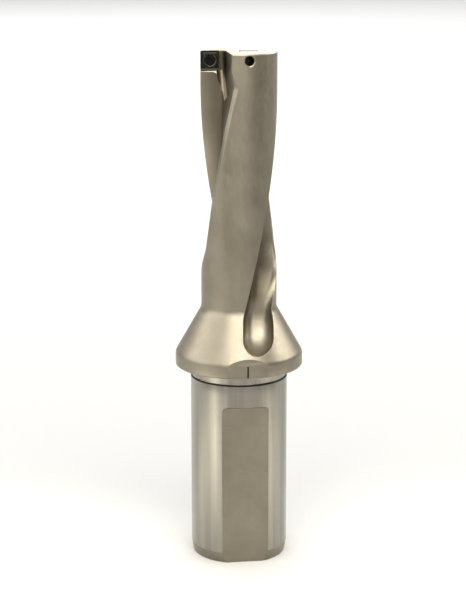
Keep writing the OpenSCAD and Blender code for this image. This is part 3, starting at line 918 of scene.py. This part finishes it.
inserts = {}
for node, out_x, turn in (("outer_insert", OUTER_X, 0), ("inner_insert", INNER_X, 180)):
    mesh = insert_mesh(node + "_mesh")
    mesh.transform(seat_of(out_x, turn))
    inserts[node] = bpy.data.objects.new(node.replace("insert", "carbide_insert"), mesh)
    bpy.context.scene.collection.objects.link(inserts[node])
    print(node, "box", [round(v / MM, 2) for v in inserts[node].dimensions])

# %% [markdown]
# The two screws are equal: a countersunk head with a six-lobe recess on a short shaft. One is drawn,
# and a Geometry Nodes tree sets it on two points, each with its own turn. Its places come in as
# points, so a drill with more inserts would only need more points.

# %% Screw
def screw_mesh():
    """Screw from rows of depth below its face and radius, in millimetres."""
    lobes = np.linspace(0, 2 * math.pi, N_SQUARE, endpoint=False)
    star = 0.80 + 0.15 * np.cos(6 * lobes)[:, None]
    unit = np.stack([np.cos(lobes), np.sin(lobes)], axis=1)
    shaft = [(6.0, 1.0), (5.8, 1.25), (1.1, 1.25)]
    head = [(0.05, 1.765), (0.02, 1.79), (0.0, 1.75), (0.0, 1.15)]
    rows = [(depth, unit * size) for depth, size in shaft + head]
    rows += [(0.0, unit * (star + 0.06)), (0.05, unit * star), (0.75, unit * star * 0.97)]
    points, faces = [], []
    for depth, ring in rows:
        points += [(x * MM, y * MM, depth * MM) for x, y in ring]
    for j in range(len(rows) - 1):
        faces += band(j, j + 1)
    for row, depth in ((0, 6.0), (len(rows) - 1, 0.8)):
        centre, first = len(points), row * N_SQUARE
        points.append((0.0, 0.0, depth * MM))
        faces += [(centre, first + i, first + (i + 1) % N_SQUARE) for i in range(N_SQUARE)]
    mesh = closed_mesh("screw", points, faces, oxide)
    shade_by_angle(mesh, 26)
    return mesh


one_screw = bpy.data.objects.new("one_screw", screw_mesh())
bpy.context.scene.collection.objects.link(one_screw)
print("screw: %d faces" % len(one_screw.data.polygons))

# %% [markdown]
# The tree takes the points, lowers the screw by a depth below the insert's face, sets it on each point
# with the turn that the point carries as an attribute, and joins the copies into one mesh.

# %% Tree that sets the screws
SCREW_SUNK = 0.15 * MM

setting = bpy.data.node_groups.new("set_screws", "GeometryNodeTree")
socket_in(setting, "Seats", kind="NodeSocketGeometry")
screw_id = socket_in(setting, "Screw", kind="NodeSocketObject")
sunk_id = socket_in(setting, "Depth below the face", 0.0)
black_id = socket_in(setting, "Finish", kind="NodeSocketMaterial")
setting.interface.new_socket("Screws", in_out="OUTPUT", socket_type="NodeSocketGeometry")
source, result = setting.nodes.new("NodeGroupInput"), setting.nodes.new("NodeGroupOutput")
shape = setting.nodes.new("GeometryNodeObjectInfo")
setting.links.new(source.outputs["Screw"], shape.inputs["Object"])
facing = add_node(
    setting, "GeometryNodeInputNamedAttribute", {"data_type": "FLOAT_VECTOR"}, Name="facing")
lowering = setting.nodes.new("ShaderNodeCombineXYZ")
setting.links.new(source.outputs["Depth below the face"], lowering.inputs["Z"])
lower_screw = setting.nodes.new("GeometryNodeTransform")
setting.links.new(shape.outputs["Geometry"], lower_screw.inputs["Geometry"])
setting.links.new(lowering.outputs["Vector"], lower_screw.inputs["Translation"])
stand = setting.nodes.new("GeometryNodeInstanceOnPoints")
setting.links.new(source.outputs["Seats"], stand.inputs["Points"])
setting.links.new(lower_screw.outputs["Geometry"], stand.inputs["Instance"])
setting.links.new(facing.outputs["Attribute"], stand.inputs["Rotation"])
realize = setting.nodes.new("GeometryNodeRealizeInstances")
coat = setting.nodes.new("GeometryNodeSetMaterial")
setting.links.new(stand.outputs["Instances"], realize.inputs["Geometry"])
setting.links.new(realize.outputs["Geometry"], coat.inputs["Geometry"])
setting.links.new(source.outputs["Finish"], coat.inputs["Material"])
setting.links.new(coat.outputs["Geometry"], result.inputs["Screws"])

seats = [seat_of(OUTER_X, 0), seat_of(INNER_X, 180)]
points = bpy.data.meshes.new("seats")
points.from_pydata([tuple(m.translation) for m in seats], [], [])
facing_data = points.attributes.new("facing", "FLOAT_VECTOR", "POINT")
for item, m in zip(facing_data.data, seats):
    item.vector = m.to_euler()
holder = bpy.data.objects.new("seats", points)
bpy.context.scene.collection.objects.link(holder)
screws = bpy.data.objects.new("countersunk_screws", grown(
    holder, setting, {screw_id: one_screw, sunk_id: SCREW_SUNK, black_id: oxide}))
bpy.context.scene.collection.objects.link(screws)
bpy.data.objects.remove(holder)
bpy.data.objects.remove(one_screw)
print("screws: %d faces" % len(screws.data.polygons), [round(v / MM, 2) for v in screws.dimensions])

# %% [markdown]
# Each piece now takes the place of its solid: it rides on the one body and hides its node.

# %% Places
for piece, node, slot in (
    (body, "drill_body", "body_steel"),
    (inserts["outer_insert"], "outer_insert", "coated_carbide"),
    (inserts["inner_insert"], "inner_insert", "coated_carbide"),
    (screws, "insert_screws", "screw_steel"),
):
    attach(piece, "root")
    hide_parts(node)
    print(piece.name, "stands for", node)

# %% [markdown]
# The stage is a wide pale floor. The light is that of a small product studio: large soft panels above
# and in front, which whiten the cone, panels at both sides, and dim warm surroundings that leave the
# upright faces grey. Seen from a little above, an upright wall mirrors the paper in front of it, so a
# pool of light on the paper at each side is what draws the bright upright bands on the shank.

# %% Floor
floor_mesh = bpy.data.meshes.new("floor")
floor_mesh.from_pydata([(-6, -3, 0), (6, -3, 0), (6, 9, 0), (-6, 9, 0)], [], [(0, 1, 2, 3)])
floor = bpy.data.objects.new("floor", floor_mesh)
bpy.context.scene.collection.objects.link(floor)
paper, tree, shader, place = new_finish("pale_paper")
fibres = grain(tree, place, 0.6 * MM, detail=3.0)
tree.links.new(tint(tree, fibres, (0.29, 0.29, 0.29), (0.31, 0.31, 0.31)), shader.inputs["Base Color"])
shader.inputs["Roughness"].default_value = 0.9
shader.inputs["Specular IOR Level"].default_value = 0.1
floor_mesh.materials.append(paper)
print("floor ready")

# %% [markdown]
# All lamps are aimed the same way: they stand at a place and look at another. The panels are area
# lamps, the pools are spot lamps with soft edges, and a wide bank behind the drill whitens the paper
# up to the horizon.

# %% Lights
MIDDLE = (0, 0, 0.09)
WARM, PALE, POOL = (1.0, 0.97, 0.9), (1.0, 0.97, 0.92), (1.0, 0.94, 0.82)
POOL_SPREAD, POOL_SOFT = math.radians(11), 0.05


def hang(name, lamp, at, look):
    holder = bpy.data.objects.new(name, lamp)
    holder.location = at
    holder.rotation_euler = (Vector(look) - Vector(at)).to_track_quat("-Z", "Y").to_euler()
    bpy.context.scene.collection.objects.link(holder)


def soft_panel(name, at, look, size, power, colour=(1, 1, 1)):
    lamp = bpy.data.lights.new(name, "AREA")
    lamp.shape, lamp.size, lamp.size_y = "RECTANGLE", size[0], size[1]
    lamp.energy, lamp.color = power, colour
    hang(name, lamp, at, look)


def floor_pool(name, at, look, power):
    """Soft round pool of light on the paper, which the ground shank mirrors as an upright band."""
    lamp = bpy.data.lights.new(name, "SPOT")
    lamp.energy, lamp.color = power, POOL
    lamp.spot_size, lamp.spot_blend, lamp.shadow_soft_size = POOL_SPREAD, 1.0, POOL_SOFT
    hang(name, lamp, at, look)


soft_panel("top_panel", (0.0, -0.38, 1.0), MIDDLE, (0.8, 0.8), 13.4, WARM)
soft_panel("front_panel", (-0.1, -0.95, 0.66), MIDDLE, (1.3, 0.9), 14.8, WARM)
soft_panel("left_panel", (-0.95, -0.05, 0.5), MIDDLE, (1.2, 0.85), 9, PALE)
soft_panel("right_panel", (0.95, 0.12, 0.62), MIDDLE, (0.9, 0.5), 9.4, PALE)
soft_panel("back_bank", (0.0, 1.6, 0.9), (0, 1.6, 0), (3.0, 2.4), 110)
floor_pool("left_pool", (-0.8, -0.2, 0.85), (-0.15, -0.05, 0), 380)
floor_pool("right_pool", (0.8, -0.2, 0.85), (0.13, -0.06, 0), 190)

world = bpy.data.worlds.new("studio")
bpy.context.scene.world = world
world.use_nodes = True
sky = world.node_tree.nodes["Background"]
sky.inputs["Color"].default_value = (0.11, 0.1, 0.085, 1)
sky.inputs["Strength"].default_value = 1.0
bpy.context.scene.view_settings.view_transform = "Standard"
